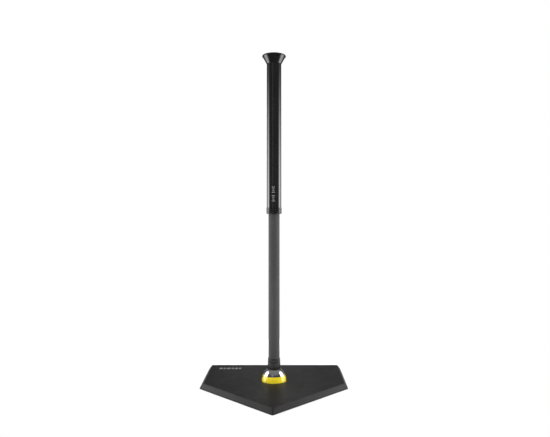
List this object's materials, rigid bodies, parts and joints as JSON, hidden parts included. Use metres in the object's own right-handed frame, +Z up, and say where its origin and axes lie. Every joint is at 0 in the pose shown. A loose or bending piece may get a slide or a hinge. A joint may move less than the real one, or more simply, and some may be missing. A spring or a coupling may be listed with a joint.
{
  "type": "batting tee",
  "caption": "Batting tee: rubber home plate base, sprung ball joint in a yellow ring, and a telescoping tilting pole with a flared ball cup.",
  "frame": {"origin": "on the ground, at the centre of the home plate's footprint", "axes": "+Z up along the upright pole; +Y from the point of the home plate to its straight edge; +X to the right when looking along +Y. The pole's axis stands at Y = 33.5 mm."},
  "size_m": [0.381, 0.38, 0.8665],
  "materials": {
    "plate_rubber": "moulded rubber, satin, lightly scuffed",
    "brass": "turned",
    "zinc_steel": "zinc-plated sheet",
    "screw_steel": "zinc-plated",
    "yellow_plastic": "moulded, glossy yellow",
    "white_acetal": "smooth, slippery",
    "spring_steel": "oiled spring wire",
    "natural_nylon": "moulded, satin",
    "chrome": "polished chrome plate",
    "black_plastic": "moulded, satin black",
    "aluminium": "turned",
    "rivet_aluminium": "drawn",
    "grey_tube_paint": "satin dark grey powder coat on steel",
    "soft_rubber": "moulded ring",
    "gloss_black": "glossy black",
    "cup_rubber": "flexible moulded rubber, satin"
  },
  "bodies": {
    "base": {"home_plate": "plate_rubber", "plate_inserts": "brass", "ballast_plate": "zinc_steel", "ballast_screws": "screw_steel", "socket_ring": "yellow_plastic", "socket_ring_screws": "screw_steel", "thrust_washer": "white_acetal"},
    "joint_core": {"friction_dome": "natural_nylon", "pressure_spring": "spring_steel"},
    "lower_pole": {"pivot_ball": "chrome", "pivot_washer": "screw_steel", "pivot_bolt": "screw_steel", "foot_collar": "black_plastic", "foot_plug": "aluminium", "foot_rivets": "rivet_aluminium", "lower_tube": "grey_tube_paint", "guide_bush": "natural_nylon", "guide_pin": "screw_steel", "friction_rings": "soft_rubber"},
    "slider": {"collar_liner": "natural_nylon"},
    "upper_pole": {"upper_tube": "gloss_black", "grip_collar": "black_plastic", "cup_adapter": "black_plastic", "ball_cup": "cup_rubber"}
  },
  "joints": [
    {"name": "swivel", "type": "hinge", "parent": "base", "child": "joint_core", "pos_m": [0, 0.0335, 0.0198], "axis": [0, 0, 1], "continuous": true},
    {"name": "tilt", "type": "hinge", "parent": "joint_core", "child": "lower_pole", "pos_m": [0, 0.0335, 0.0198], "axis": [0, 1, 0], "range_deg": [-22, 22]},
    {"name": "height_slide", "type": "slide", "parent": "lower_pole", "child": "slider", "axis": [0, 0, 1], "range_m": [-0.212, 0.076]},
    {"name": "upper_spin", "type": "hinge", "parent": "slider", "child": "upper_pole", "pos_m": [0, 0.0335, 0.65], "axis": [0, 0, 1], "continuous": true}
  ]
}
